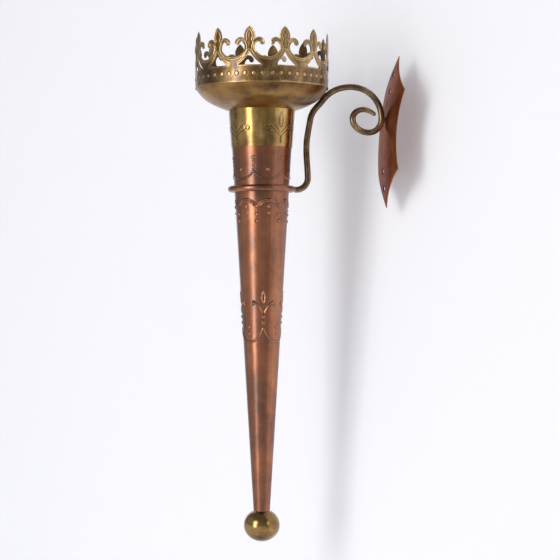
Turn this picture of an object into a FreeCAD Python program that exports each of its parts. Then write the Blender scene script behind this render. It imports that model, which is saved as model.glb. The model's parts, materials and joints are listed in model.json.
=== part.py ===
"""Sheet-metal torch sconce: a tapered copper torch with a brass collar, bowl and
pierced crown, held by a ring on a scrolled arm that is riveted to a dished wall plate.

Millimetres. The wall is the plane Y = 0 and the room lies toward -Y, +Z is up, X = 0 is
the plane of symmetry. The origin is on the wall, behind the middle of the wall plate.
The torch has a frame of its own: its height runs up the tilted torch axis from the
shaft's lower end, and its reach runs square to that axis, toward the wall.
"""
import FreeCAD, Part
import math
import os

# --- the torch as it hangs -----------------------------------------------------------
torch_lean = 5.0            # degrees, top away from the wall
torch_reach = 171.8         # wall to torch axis, level with the middle of the plate
plate_drop = 8.5            # middle of the plate below the bowl's floor, along the axis

# --- torch shaft and lower end -------------------------------------------------------
sheet = 0.8                 # copper and brass sheet of shaft, collar and drip pan
shaft_length = 462.0
shaft_foot_radius = 10.3    # outside, at the lower end
shaft_head_radius = 37.835  # outside, at the upper end
plug_length = 8.0
ball_radius = 22.5
ball_half_height = 20.4
tie_rod_radius = 2.5
tie_rod_in_ball = 20.0      # depth of the rod below the ball's seat
fit = 0.05                  # radial play of pieces that seat in or on each other

# --- collar --------------------------------------------------------------------------
collar_grip = 9.0           # length of the shaft's upper end inside it
collar_length = 46.7
collar_top_radius = 41.5    # outside

# --- bowl ----------------------------------------------------------------------------
bowl_wall = 1.0
bowl_rise = 27.3            # floor to the bend of the upright rim
bowl_neck_slope = 16.0      # degrees above level, where the wall leaves the floor
bowl_rim_slope = 62.0       # degrees above level, where the wall meets the upright rim
bowl_rim_height = 6.0       # upright rim that stands inside the crown

# --- crown ---------------------------------------------------------------------------
crown_radius = 83.5         # outside
crown_wall = 1.2
crown_drop = 0.9            # crown's lower edge below the bend of the bowl's upright rim
fleur_count = 12
fleur_height = 67.5         # crown's lower edge to the tips
fleur_turn = 8.0            # degrees that the first fleur stands round from the wall side
window_foot = 20.8          # lower edge of the triangular windows
window_half_width = 14.7
window_apex = 36.6

# --- tie hardware in the bowl --------------------------------------------------------
washer_radius = 9.0
washer_thickness = 1.2
nut_across_flats = 8.0
nut_thickness = 4.0
rod_past_nut = 1.5

# --- drip pan and candle cup ---------------------------------------------------------
pan_inset = 14.25           # rim's edge in from the bowl's largest radius
pan_rim_width = 10.0
pan_over_tie = 2.8          # room between the pan's floor and the end of the tie rod
pan_lip_height = 5.0
rest_gap = 0.3              # play between curved faces of pieces that lift apart
cup_bore_radius = 11.5
cup_wall = 1.0
cup_height = 26.0
cup_rivet_radius = 2.0
cup_rivet_head_radius = 3.6
cup_rivet_head_height = 1.1

# --- ring and arm --------------------------------------------------------------------
rod_radius = 4.0            # arm and ring are bent from the same rod
ring_drop = 98.3            # ring below the bowl's floor
arm_bend_radius = 14.6      # from the ring up into the leg
arm_lead = 2.0              # straight stretch that leaves the ring
leg_tuck = 1.8              # how far the leg leans in toward the torch
leg_straight_height = 52.0  # ring to the place where the leg runs along the torch
leg_flare_drop = 10.3       # below the bowl's floor, where the leg starts round the bowl
leg_flare_out = 4.9         # how far the leg has come out again there
leg_flare_heading = 80.0    # degrees above level
bowl_under_slope = 30.3     # slope of the bowl wall where the leg comes up to it
bowl_under_gap = 2.9        # rod to wall there
bowl_under_heading = 48.2   # degrees above level
bowl_side_slope = 50.0      # slope of the wall where the arm passes it closest
arm_peak_rise = 18.6        # top of the arch above that place
scroll_foot_drop = 17.2     # bottom of the scroll below the rivet
scroll_foot_back = 17.3     # and out from the rivet
scroll_back = 37.6          # outermost side of the scroll, out from the rivet
scroll_back_rise = -1.1
scroll_top_rise = 11.2
scroll_top_back = 23.7
scroll_end_rise = 5.5
scroll_end_back = 8.4
scroll_end_heading = -40.0  # degrees

# --- wall plate ----------------------------------------------------------------------
plate_half_height = 97.0    # to the pointed tips
plate_cusp_reach = 43.5     # to the side corners
plate_cusp_height = 50.0
plate_waist = 37.6          # half width at mid height
plate_shoulder_hollow = 2.5  # how far the edges from corner to tip are hollowed
plate_sheet = 1.4
plate_bow = 11.2            # how far the middle stands out from the tips
plate_cross_bow = 6.1       # how far the side corners fall back
screw_hole_radius = 2.6
inner_hole_height = 51.0
outer_hole_height = 73.0

# --- rivet that joins arm and plate --------------------------------------------------
rivet_height = 13.0
rivet_radius = 2.0
rivet_head_radius = 4.2
rivet_head_height = 2.0
rivet_in_rod = 5.0
spacer_radius = 4.5
spacer_thickness = 0.8

# --- sizes that follow ---------------------------------------------------------------
shaft_taper = (shaft_head_radius - shaft_foot_radius) / shaft_length
collar_foot = shaft_length - collar_grip
bowl_floor = collar_foot + collar_length
bowl_radius = crown_radius - crown_wall - fit
bowl_rim = bowl_floor + bowl_rise
crown_foot = bowl_rim - crown_drop
tie_rod_top = bowl_floor + bowl_wall + washer_thickness + nut_thickness + rod_past_nut
pan_floor = tie_rod_top + pan_over_tie
pan_radius = bowl_radius - pan_inset
pan_floor_radius = pan_radius - pan_rim_width
ring_height = bowl_floor - ring_drop
ring_radius = (shaft_foot_radius + shaft_taper * ring_height
               + (rod_radius + rest_gap) / math.cos(math.atan(shaft_taper)))

up = FreeCAD.Vector(0, 0, 1)
out_of_wall = FreeCAD.Vector(0, -1, 0)


# --- helpers -------------------------------------------------------------------------
def torch_frame():
    """Placement that carries the torch's own frame into the wall's frame."""
    lean = FreeCAD.Rotation(FreeCAD.Vector(1, 0, 0), torch_lean)
    level_point = FreeCAD.Vector(0, -torch_reach, 0)
    foot = level_point - lean.multVec(up * (bowl_floor - plate_drop))
    return FreeCAD.Placement(foot, lean)


def on_torch(shape):
    """Carry a shape from the torch's own frame to its place."""
    return shape.transformed(torch_frame().toMatrix(), True)


def beside_torch(reach, height, heading):
    """Point and heading beside the torch, as (y, z, degrees) in the wall's frame."""
    spot = torch_frame().multVec(FreeCAD.Vector(0, reach, height))
    return spot.y, spot.z, heading + torch_lean


def direction(degrees):
    angle = math.radians(degrees)
    return FreeCAD.Vector(math.cos(angle), math.sin(angle), 0)


def biarc(start, start_heading, end, end_heading):
    """Two arcs that leave start and reach end at the given headings, as 3-point arcs."""
    p = FreeCAD.Vector(start[0], start[1], 0)
    q = FreeCAD.Vector(end[0], end[1], 0)
    t = direction(start_heading)
    u = direction(end_heading)
    chord = q - p
    along = chord.dot(t + u)
    spread = 2.0 * (1.0 - t.dot(u))
    handle = (math.sqrt(along * along + spread * chord.dot(chord)) - along) / spread
    middle = (p + q + (t - u) * handle) * 0.5
    return [arc_from(p, t, middle), arc_from(q, u * -1.0, middle)[::-1]]


def arc_from(p, t, q):
    """Three points of the arc that leaves p along t and ends at q."""
    chord = q - p
    normal = FreeCAD.Vector(-t.y, t.x, 0)
    radius = chord.dot(chord) / (2.0 * chord.dot(normal))
    centre = p + normal * radius
    to_middle = (p + q) * 0.5 - centre
    if to_middle.Length < 1e-9:
        to_middle = t * abs(radius)
    to_middle.normalize()
    if t.dot(to_middle * abs(radius) - (p - centre)) < 0:
        to_middle = to_middle * -1.0
    return [p, centre + to_middle * abs(radius), q]


def arc_height(points, radius):
    """Height of an arc that opens upward at a distance from the profile's axis."""
    circle = Part.Arc(*points).toShape().Curve
    centre = circle.Center
    return centre.y - math.sqrt(circle.Radius ** 2 - (radius - centre.x) ** 2)


def arc_edges(arcs, lift):
    """Edges of flat 3-point arcs, each point carried into space by lift."""
    return [Part.Arc(*[lift(point) for point in points]).toShape() for points in arcs]


def in_profile(point):
    """A flat (radius, height) point as a point of a turned profile."""
    return FreeCAD.Vector(point[0], 0, point[1])


def in_wall_section(point):
    """A flat (y, z) point in the plane of symmetry."""
    return FreeCAD.Vector(0, point[0], point[1])


def lines(points, lift):
    return [Part.makeLine(lift(a), lift(b)) for a, b in zip(points, points[1:])]


def turn(edges):
    """Solid of revolution about the torch axis from a closed set of profile edges."""
    face = Part.Face(Part.Wire(Part.__sortEdges__(edges)))
    return face.revolve(FreeCAD.Vector(0, 0, 0), up, 360)


def turn_points(points):
    return turn(lines(points + points[:1], in_profile))


def shaft_radius(height):
    """Outside radius of the shaft at a height."""
    return shaft_foot_radius + shaft_taper * height


# --- torch ---------------------------------------------------------------------------
def make_torch_shaft():
    top = shaft_length
    return turn_points([
        (shaft_radius(0) - sheet, 0), (shaft_radius(0), 0),
        (shaft_radius(top), top), (shaft_radius(top) - sheet, top)])


def make_shaft_plug():
    """Turned plug that centres the tie rod in the shaft's lower end."""
    inset = sheet + fit
    return turn_points([
        (tie_rod_radius + fit, 0), (shaft_radius(0) - inset, 0),
        (shaft_radius(plug_length) - inset, plug_length),
        (tie_rod_radius + fit, plug_length)])


def make_ball_finial():
    """Flattened ball with a flat seat for the shaft and a blind hole for the tie rod."""
    pole_arc, side_arc = biarc((0, -ball_half_height), 0.0, (ball_radius, 0), 90.0)
    middle = arc_height(pole_arc, shaft_foot_radius)
    shoulder = pole_arc[2].x
    seat_arc = [(radius, arc_height(pole_arc, radius)) for radius in (
        shaft_foot_radius, (shaft_foot_radius + shoulder) * 0.5, shoulder)]

    def below(point):
        return in_profile((point[0], middle + point[1]))

    def above(point):
        return in_profile((point[0], middle - point[1]))

    edges = arc_edges([pole_arc, side_arc], below)
    edges += arc_edges([side_arc, seat_arc], above)
    bore = tie_rod_radius + fit
    edges += lines([(shaft_foot_radius, 0), (bore, 0), (bore, -tie_rod_in_ball),
                    (0, -tie_rod_in_ball), (0, middle - ball_half_height)], in_profile)
    return turn(edges)


def make_brass_collar():
    """Tapered sleeve whose lower edge grips the shaft."""
    foot = shaft_radius(collar_foot) + fit
    head = collar_top_radius - sheet
    top = collar_foot + collar_length
    return turn_points([
        (foot, collar_foot), (foot + sheet, collar_foot),
        (head + sheet, top), (head, top)])


def bowl_curve(inset):
    """Start and end of the bowl wall's curve, set in from the outside by inset."""
    off_neck = direction(bowl_neck_slope + 90.0) * inset
    start = (collar_top_radius + off_neck.x, bowl_floor + off_neck.y)
    half_bend = math.radians(90.0 - bowl_rim_slope) * 0.5
    end = (bowl_radius - inset, bowl_rim + inset * math.tan(half_bend))
    return start, end


def bowl_wall_arcs(inset):
    start, end = bowl_curve(inset)
    return biarc(start, bowl_neck_slope, end, bowl_rim_slope)


def make_fire_bowl():
    """Spun bowl: flat floor with a rod hole, flared wall, upright rim in the crown."""
    hole = tie_rod_radius + fit
    brim = bowl_rim + bowl_rim_height
    outside, rim_outside = bowl_curve(0.0)
    inside, rim_inside = bowl_curve(bowl_wall)
    edges = arc_edges(bowl_wall_arcs(0.0), in_profile)
    edges += arc_edges(bowl_wall_arcs(bowl_wall), in_profile)
    floor_top = bowl_floor + bowl_wall
    edge_of_floor = inside[0] - (inside[1] - floor_top) / math.tan(
        math.radians(bowl_neck_slope))
    edges += lines([rim_outside, (bowl_radius, brim), (bowl_radius - bowl_wall, brim),
                    rim_inside], in_profile)
    edges += lines([inside, (edge_of_floor, floor_top), (hole, floor_top),
                    (hole, bowl_floor), outside], in_profile)
    return turn(edges)


def fleur_edges():
    """Outline of one fleur, flat, as edges: x across, z up from the crown's lower edge."""
    half_pitch = math.pi * crown_radius / fleur_count
    tip = fleur_height
    arcs = [
        ((0, tip), (5.1, tip - 5.6), (6.9, tip - 12.1)),           # petal
        ((6.9, tip - 12.1), (6.7, tip - 14.1), (5.9, tip - 16.0)),
        ((5.9, tip - 16.0), (12.6, tip - 13.6), (18.6, tip - 19.6)),   # side leaf
        ((18.6, tip - 19.6), (15.5, tip - 23.0), (12.5, tip - 20.6)),  # its knob
        ((12.5, tip - 20.6), (11.1, tip - 19.2), (9.2, tip - 19.7)),
        ((9.2, tip - 19.7), (6.3, tip - 25.4), (9.6, tip - 32.1)),     # waist
        ((9.6, tip - 32.1), (14.6, tip - 35.6), (half_pitch, tip - 36.8))]
    edges = []
    for side in (1, -1):
        for points in arcs:
            spots = [FreeCAD.Vector(side * x, 0, z) for x, z in points]
            edges.append(Part.Arc(*spots).toShape())
    shoulder = tip - 36.8
    edges += lines([(half_pitch, shoulder), (half_pitch, window_foot * 0.5),
                    (-half_pitch, window_foot * 0.5), (-half_pitch, shoulder)],
                   in_profile)
    return edges


def window_edges():
    """Outline of the triangular window under a fleur, with hollowed sides."""
    apex = FreeCAD.Vector(0, 0, window_apex)
    edges = []
    for side in (1, -1):
        corner = FreeCAD.Vector(side * window_half_width, 0, window_foot)
        middle = (apex + corner) * 0.5 + FreeCAD.Vector(-side * 1.1, 0, -1.1)
        edges.append(Part.Arc(apex, middle, corner).toShape())
    edges.append(Part.makeLine(edges[0].Vertexes[-1].Point, edges[1].Vertexes[-1].Point))
    return edges


def closed_face(edges):
    return Part.Face(Part.Wire(Part.__sortEdges__(edges)))


def make_crown_gallery():
    """Pierced crown: a band that carries a row of beads and a ring of open fleurs."""
    inner = crown_radius - crown_wall
    band = Part.makeCylinder(crown_radius, window_foot).cut(
        Part.makeCylinder(inner, window_foot))
    shell = Part.makeCylinder(crown_radius, fleur_height).cut(
        Part.makeCylinder(inner, fleur_height))
    flat_fleur = closed_face(fleur_edges()).cut(closed_face(window_edges()))
    start = FreeCAD.Vector(0, inner * 0.9, 0)
    flat_fleur.translate(start)
    fleur = flat_fleur.extrude(FreeCAD.Vector(0, crown_radius * 0.3, 0)).common(shell)
    step = 360.0 / fleur_count
    fleurs = []
    for index in range(fleur_count):
        one = fleur.copy()
        one.rotate(FreeCAD.Vector(0, 0, 0), up, fleur_turn + step * index)
        fleurs.append(one)
    crown = band.multiFuse(fleurs)
    crown.translate(FreeCAD.Vector(0, 0, crown_foot))
    return crown


def make_tie_rod():
    return Part.makeCylinder(tie_rod_radius, tie_rod_top + tie_rod_in_ball,
                             FreeCAD.Vector(0, 0, -tie_rod_in_ball))


def make_tie_washer():
    foot = FreeCAD.Vector(0, 0, bowl_floor + bowl_wall)
    hole = tie_rod_radius + fit
    return Part.makeCylinder(washer_radius, washer_thickness, foot).cut(
        Part.makeCylinder(hole, washer_thickness, foot))


def make_tie_nut():
    foot = FreeCAD.Vector(0, 0, bowl_floor + bowl_wall + washer_thickness)
    corner = nut_across_flats / math.sqrt(3.0)
    points = [foot + direction(60.0 * index) * corner for index in range(7)]
    blank = Part.Face(Part.makePolygon(points)).extrude(up * nut_thickness)
    return blank.cut(Part.makeCylinder(tie_rod_radius + fit, nut_thickness, foot))


# --- drip pan and candle cup ---------------------------------------------------------
def bowl_inside_height(radius):
    """Height of the bowl's inner face at a radius of its flared wall."""
    lower, upper = bowl_wall_arcs(bowl_wall)
    return arc_height(lower if radius < lower[2].x else upper, radius)


def make_drip_pan():
    """Loose dish: flat floor, a rim that rests on the bowl's wall, a short upright lip."""
    low = pan_floor
    rim = bowl_inside_height(pan_radius) + rest_gap * 1.3
    brim = rim + pan_lip_height
    dish = turn_points([
        (0, low), (pan_floor_radius, low), (pan_radius, rim), (pan_radius, brim),
        (pan_radius - sheet, brim), (pan_radius - sheet, rim + sheet),
        (pan_floor_radius, low + sheet), (0, low + sheet)])
    hole = Part.makeCylinder(cup_rivet_radius + fit, sheet, FreeCAD.Vector(0, 0, low))
    return dish.cut(hole)


def make_candle_cup():
    """Cup with a countersunk rivet hole in its floor."""
    low = pan_floor + sheet
    outer = cup_bore_radius + cup_wall
    return turn_points([
        (cup_rivet_radius + fit, low), (outer, low), (outer, low + cup_height),
        (cup_bore_radius, low + cup_height), (cup_bore_radius, low + cup_wall),
        (cup_rivet_head_radius + fit, low + cup_wall)])


def make_cup_rivet():
    """Rivet through pan and cup, with a flat head below and a flush one in the cup."""
    seam = pan_floor + sheet
    head = cup_rivet_head_radius
    head_foot = pan_floor - cup_rivet_head_height
    return turn_points([
        (0, head_foot), (head, head_foot), (head, pan_floor),
        (cup_rivet_radius, pan_floor), (cup_rivet_radius, seam),
        (head, seam + cup_wall), (0, seam + cup_wall)])


# --- ring, arm and wall plate --------------------------------------------------------
def make_support_ring():
    return Part.makeTorus(ring_radius, rod_radius, FreeCAD.Vector(0, 0, ring_height), up)


def plate_front(x, z):
    """Distance of the plate's room-side face from the wall."""
    along = 1.0 - (z / plate_half_height) ** 2
    across = (x / plate_cusp_reach) ** 2
    return plate_sheet + plate_bow * along - plate_cross_bow * across


def beside_bowl(slope, gap, heading):
    """Knot of the arm's middle line that keeps a gap to the bowl's wall at a slope."""
    circle = Part.Arc(*bowl_wall_arcs(0.0)[1]).toShape().Curve
    spot = circle.Center + direction(slope - 90.0) * (circle.Radius + rod_radius + gap)
    return beside_torch(spot.x, spot.y, heading)


def arm_knots():
    """The arm's middle line as knots (y, z, heading) from the ring to the scroll's end."""
    leave = ring_radius + rod_radius + arm_lead
    leg = leave + arm_bend_radius
    contact_y = -(plate_front(0, rivet_height) + spacer_thickness + rod_radius)
    bowl_side = beside_bowl(bowl_side_slope, rest_gap, bowl_side_slope)
    peak_y = (bowl_side[0] + contact_y) * 0.5
    return [
        beside_torch(leave, ring_height, 0.0),
        beside_torch(leg, ring_height + arm_bend_radius + 1.0, 92.0),
        beside_torch(leg - leg_tuck, ring_height + leg_straight_height, 90.0),
        beside_torch(leg - leg_tuck + leg_flare_out, bowl_floor - leg_flare_drop,
                     leg_flare_heading),
        beside_bowl(bowl_under_slope, bowl_under_gap, bowl_under_heading),
        bowl_side,
        (peak_y, bowl_side[1] + arm_peak_rise, 0.0),
        (contact_y, rivet_height, -90.0),
        (contact_y - scroll_foot_back, rivet_height - scroll_foot_drop, -180.0),
        (contact_y - scroll_back, rivet_height + scroll_back_rise, -270.0),
        (contact_y - scroll_top_back, rivet_height + scroll_top_rise, -360.0),
        (contact_y - scroll_end_back, rivet_height + scroll_end_rise,
         scroll_end_heading)]


def make_scroll_arm():
    """Rod bent from the ring, up past the bowl, over and round into the scroll."""
    knots = arm_knots()
    coped_from = beside_torch(ring_radius + rod_radius * 0.4, ring_height, 0.0)
    edges = lines([coped_from[:2], knots[0][:2]], in_wall_section)
    for a, b in zip(knots, knots[1:]):
        edges += arc_edges(biarc(a[:2], a[2], b[:2], b[2]), in_wall_section)
    path = Part.Wire(edges)
    heading = direction(knots[0][2])
    profile = Part.Wire(Part.makeCircle(rod_radius, in_wall_section(coped_from),
                                        in_wall_section(heading)))
    rod = path.makePipeShell([profile], True, False)
    tip = in_wall_section(knots[-1])
    rim = [edge for edge in rod.Edges
           if edge.BoundBox.Center.distanceToPoint(tip) < rod_radius * 0.1]
    rod = rod.makeFillet(rod_radius * 0.6, rim)
    rod = rod.cut(on_torch(make_support_ring()))
    return rod.cut(rivet_hole())


def rivet_hole():
    """Bore of the rivet from behind the plate into the rod."""
    depth = plate_front(0, rivet_height) + spacer_thickness + rivet_in_rod
    return Part.makeCylinder(rivet_radius + fit, depth,
                             FreeCAD.Vector(0, 0, rivet_height), out_of_wall)


def plate_outline():
    """Closed outline with two tips, four side corners and hollowed edges."""
    tip = plate_half_height
    side = plate_cusp_reach
    high = plate_cusp_height
    shoulder = FreeCAD.Vector(side * 0.5, 0, (tip + high) * 0.5)
    inward = FreeCAD.Vector(tip - high, 0, side).normalize() * -plate_shoulder_hollow
    hollow = shoulder + inward
    edges = []
    for x_sign in (1, -1):
        for z_sign in (1, -1):
            corner = FreeCAD.Vector(x_sign * side, 0, z_sign * high)
            point = FreeCAD.Vector(0, 0, z_sign * tip)
            middle = FreeCAD.Vector(x_sign * hollow.x, 0, z_sign * hollow.z)
            edges.append(Part.Arc(corner, middle, point).toShape())
        edges.append(Part.Arc(
            FreeCAD.Vector(x_sign * side, 0, high),
            FreeCAD.Vector(x_sign * plate_waist, 0, 0),
            FreeCAD.Vector(x_sign * side, 0, -high)).toShape())
    return edges


def dished_sheet():
    """Sheet bowed both ways, wider than the plate, with its tips' backs on the wall."""
    half_x = plate_cusp_reach * 1.1
    half_z = plate_half_height * 1.1
    bow_x = plate_cross_bow * 1.1 ** 2
    bow_z = plate_bow * 1.1 ** 2
    surface = Part.BezierSurface()
    surface.increase(2, 2)
    for i in range(3):
        for j in range(3):
            across = bow_x * (1 if i != 1 else -1)
            along = bow_z * (1 if j != 1 else -1)
            pole = FreeCAD.Vector((i - 1) * half_x, across + along - plate_bow,
                                  (j - 1) * half_z)
            surface.setPole(i + 1, j + 1, pole)
    return surface.toShape().extrude(out_of_wall * plate_sheet)


def make_wall_plate():
    """Dished copper plate with four screw holes and the rivet's hole."""
    deep = plate_bow + plate_cross_bow + plate_sheet * 2
    blank = closed_face(plate_outline())
    blank.translate(out_of_wall * -deep)
    plate = blank.extrude(out_of_wall * deep * 2.5).common(dished_sheet())
    for height in (outer_hole_height, inner_hole_height, -inner_hole_height,
                   -outer_hole_height):
        plate = plate.cut(Part.makeCylinder(
            screw_hole_radius, deep * 2.5, FreeCAD.Vector(0, deep, height), out_of_wall))
    return plate.cut(rivet_hole())


def make_arm_spacer():
    """Brass burr between the plate and the rod, dressed to the plate's curve."""
    front = plate_front(0, rivet_height)
    blank = Part.makeCylinder(
        spacer_radius, spacer_thickness + plate_sheet * 0.5,
        FreeCAD.Vector(0, -front + plate_sheet * 0.5, rivet_height), out_of_wall)
    return blank.cut(make_wall_plate()).cut(rivet_hole()).cut(make_scroll_arm())


def make_arm_rivet():
    """Rivet with a domed head behind the plate and its shank in the rod."""
    back = plate_front(0, rivet_height) - plate_sheet
    shank_length = plate_sheet + spacer_thickness + rivet_in_rod - fit
    shank = Part.makeCylinder(rivet_radius, shank_length,
                              FreeCAD.Vector(0, -back, rivet_height), out_of_wall)
    dome_radius = (rivet_head_radius ** 2 + rivet_head_height ** 2) / (
        2.0 * rivet_head_height)
    centre = FreeCAD.Vector(0, -back + rivet_head_height - dome_radius, rivet_height)
    dome = Part.makeSphere(dome_radius, centre).common(Part.makeCylinder(
        rivet_head_radius, rivet_head_height,
        FreeCAD.Vector(0, -back + rivet_head_height, rivet_height), out_of_wall))
    return shank.fuse(dome.cut(make_wall_plate()))


# --- write every piece ---------------------------------------------------------------
torch_pieces = {
    "torch_shaft": make_torch_shaft,
    "shaft_plug": make_shaft_plug,
    "ball_finial": make_ball_finial,
    "brass_collar": make_brass_collar,
    "fire_bowl": make_fire_bowl,
    "crown_gallery": make_crown_gallery,
    "tie_rod": make_tie_rod,
    "tie_washer": make_tie_washer,
    "tie_nut": make_tie_nut,
    "drip_pan": make_drip_pan,
    "candle_cup": make_candle_cup,
    "cup_rivet": make_cup_rivet,
    "support_ring": make_support_ring,
}
wall_pieces = {
    "wall_plate": make_wall_plate,
    "arm_rivet": make_arm_rivet,
    "arm_spacer": make_arm_spacer,
    "scroll_arm": make_scroll_arm,
}

os.makedirs("parts", exist_ok=True)
shapes = {name: on_torch(make()) for name, make in torch_pieces.items()}
shapes.update({name: make() for name, make in wall_pieces.items()})
for name, shape in shapes.items():
    shape.exportStep("parts/" + name + ".step")
    box = shape.BoundBox
    print("%-14s valid %s solids %d volume %9.1f  box %.1f..%.1f %.1f..%.1f %.1f..%.1f" % (
        name, shape.isValid(), len(shape.Solids), shape.Volume,
        box.XMin, box.XMax, box.YMin, box.YMax, box.ZMin, box.ZMax))
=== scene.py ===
import bpy
import json
import math
import numpy
from mathutils import Matrix, Vector, geometry, noise


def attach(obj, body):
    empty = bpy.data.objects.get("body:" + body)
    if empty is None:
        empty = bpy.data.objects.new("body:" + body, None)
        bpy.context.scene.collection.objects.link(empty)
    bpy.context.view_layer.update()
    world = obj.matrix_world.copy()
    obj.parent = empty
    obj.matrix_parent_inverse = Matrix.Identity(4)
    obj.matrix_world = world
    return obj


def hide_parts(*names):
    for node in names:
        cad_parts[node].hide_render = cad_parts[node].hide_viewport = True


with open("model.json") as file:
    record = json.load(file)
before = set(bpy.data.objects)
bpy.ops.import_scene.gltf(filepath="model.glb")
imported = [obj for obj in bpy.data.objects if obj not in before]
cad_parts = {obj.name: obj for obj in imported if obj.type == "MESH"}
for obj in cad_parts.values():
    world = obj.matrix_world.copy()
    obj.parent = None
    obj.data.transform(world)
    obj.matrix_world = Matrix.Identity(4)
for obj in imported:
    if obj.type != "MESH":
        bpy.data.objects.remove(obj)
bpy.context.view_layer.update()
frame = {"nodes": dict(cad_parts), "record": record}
mm = 0.001
print("frame loaded:", len(frame["nodes"]), "nodes")

# the torch has its own upright, leaned out from the wall; heights run up it from the shaft's lower end
torchStance = {"lean": 5.0, "reach": 171.8, "levelHeight": 491.2}


def torchMatrix():
    lean = Matrix.Rotation(math.radians(torchStance["lean"]), 4, "X")
    foot = Vector((0, -torchStance["reach"], 0)) - lean @ Vector((0, 0, torchStance["levelHeight"]))
    return Matrix.Scale(mm, 4) @ Matrix.Translation(foot) @ lean


def linkPiece(name, data):
    piece = bpy.data.objects.new(name, data)
    bpy.context.scene.collection.objects.link(piece)
    return piece


# camera and studio; the distance is also given in pixels of the picture, which sets the lens
viewSetup = {"turn": 12.5, "distance": 2062.5, "aside": 22.8, "height": 288.0, "pixelsAway": 1650.0,
             "picturePixels": 560.0, "sensorWidth": 36.0, "nearest": 0.05, "farthest": 60.0}


def makeCamera():
    turn = math.radians(viewSetup["turn"])
    back = Vector((math.cos(turn), -math.sin(turn), 0))
    right = Vector((math.sin(turn), math.cos(turn), 0))
    place = torchMatrix()
    spot = back * viewSetup["distance"] + right * viewSetup["aside"] + Vector((0, 0, viewSetup["height"]))
    axes = Matrix((right, Vector((0, 0, 1)), back)).transposed().to_4x4()
    turned = place.to_3x3().normalized().to_4x4() @ axes
    data = bpy.data.cameras.new("camera")
    data.sensor_width = viewSetup["sensorWidth"]
    data.lens = viewSetup["pixelsAway"] / viewSetup["picturePixels"] * viewSetup["sensorWidth"]
    data.clip_start, data.clip_end = viewSetup["nearest"], viewSetup["farthest"]
    camera = linkPiece("camera", data)
    camera.matrix_world = Matrix.Translation(place @ spot) @ turned
    bpy.context.scene.camera = camera


makeCamera()
bpy.context.scene.view_settings.view_transform = "Standard"
print("camera set")


class NodeSheet:
    # a short way to write a node tree: add() makes a node, fills its sockets and gives its first output
    def __init__(self, tree):
        self.tree = tree
        self.node = None

    def add(self, kind, links=None, out=0, **values):
        self.node = self.tree.nodes.new(kind)
        for key, value in values.items():
            setattr(self.node, key, value)
        for socket, source in (links or {}).items():
            target = self.node.inputs[socket]
            if isinstance(source, bpy.types.NodeSocket):
                self.tree.links.new(source, target)
            else:
                target.default_value = source
        return self.node.outputs[out] if self.node.outputs else None

    def math(self, operation, a, b=0.0):
        return self.add("ShaderNodeMath", {0: a, 1: b}, operation=operation)

    def ranged(self, value, low, high, toLow, toHigh, way="LINEAR"):
        return self.add("ShaderNodeMapRange", {"Value": value, "From Min": low, "From Max": high,
                                               "To Min": toLow, "To Max": toHigh}, interpolation_type=way)


def newShader(name):
    material = bpy.data.materials.new(name)
    material.use_nodes = True
    material.node_tree.nodes.clear()
    return material, NodeSheet(material.node_tree)


studio = {"floorDrop": -1.1, "floorRadius": 14.0, "floorSides": 64, "wallTurn": 28.5, "wallBehind": 0.180,
          "wallTop": 1.6, "wallHalfWidth": 1.8, "wallColour": (0.90, 0.90, 0.93, 1), "wallGlow": 0.20,
          "cloudSize": 3.0, "cloudShade": 0.985, "roomColour": (0.95, 0.96, 1.0, 1), "roomLight": 0.28,
          "keyAzimuth": 34.0, "keyRise": 18.0, "keyStrength": 0.38, "keyAngle": 34.0,
          "fillAzimuth": 128.0, "fillRise": 25.0, "fillStrength": 0.5, "fillAngle": 24.0,
          "stripAzimuth": 34.0, "stripWide": 0.9, "stripTall": 2.4, "stripPower": 36.0,
          "stripAway": 3.0, "stripHeight": -0.2}


def towards(azimuth, rise):
    # azimuth 0 is straight out from the wall plate; rise is above level
    a, e = math.radians(azimuth), math.radians(rise)
    return Vector((math.sin(a) * math.cos(e), -math.cos(a) * math.cos(e), math.sin(e)))


def paleFinish(name, colour, glow):
    material, sheet = newShader(name)
    spot = sheet.add("ShaderNodeTexCoord", out="Object")
    cloud = sheet.add("ShaderNodeTexNoise", {"Vector": spot, "Scale": studio["cloudSize"], "Detail": 3.0})
    shaded = tuple(c * studio["cloudShade"] for c in colour[:3]) + (1,)
    tone = sheet.add("ShaderNodeMixRGB", {"Fac": cloud, "Color1": colour, "Color2": shaded})
    matte = sheet.add("ShaderNodeBsdfDiffuse", {"Color": tone})
    lit = sheet.add("ShaderNodeEmission", {"Color": tone, "Strength": glow})
    both = sheet.add("ShaderNodeAddShader", {0: matte, 1: lit})
    clear = sheet.add("ShaderNodeBsdfTransparent")
    behind = sheet.add("ShaderNodeNewGeometry", out="Backfacing")
    faced = sheet.add("ShaderNodeMixShader", {0: behind, 1: both, 2: clear})
    sheet.add("ShaderNodeOutputMaterial", {"Surface": faced})
    return material


def placeLamp(name, lamp, away):
    # the lamp shines from away toward the torch
    lampObject = linkPiece(name, lamp)
    lampObject.rotation_mode = "QUATERNION"
    lampObject.rotation_quaternion = away.to_track_quat("Z", "Y")
    return lampObject


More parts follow.
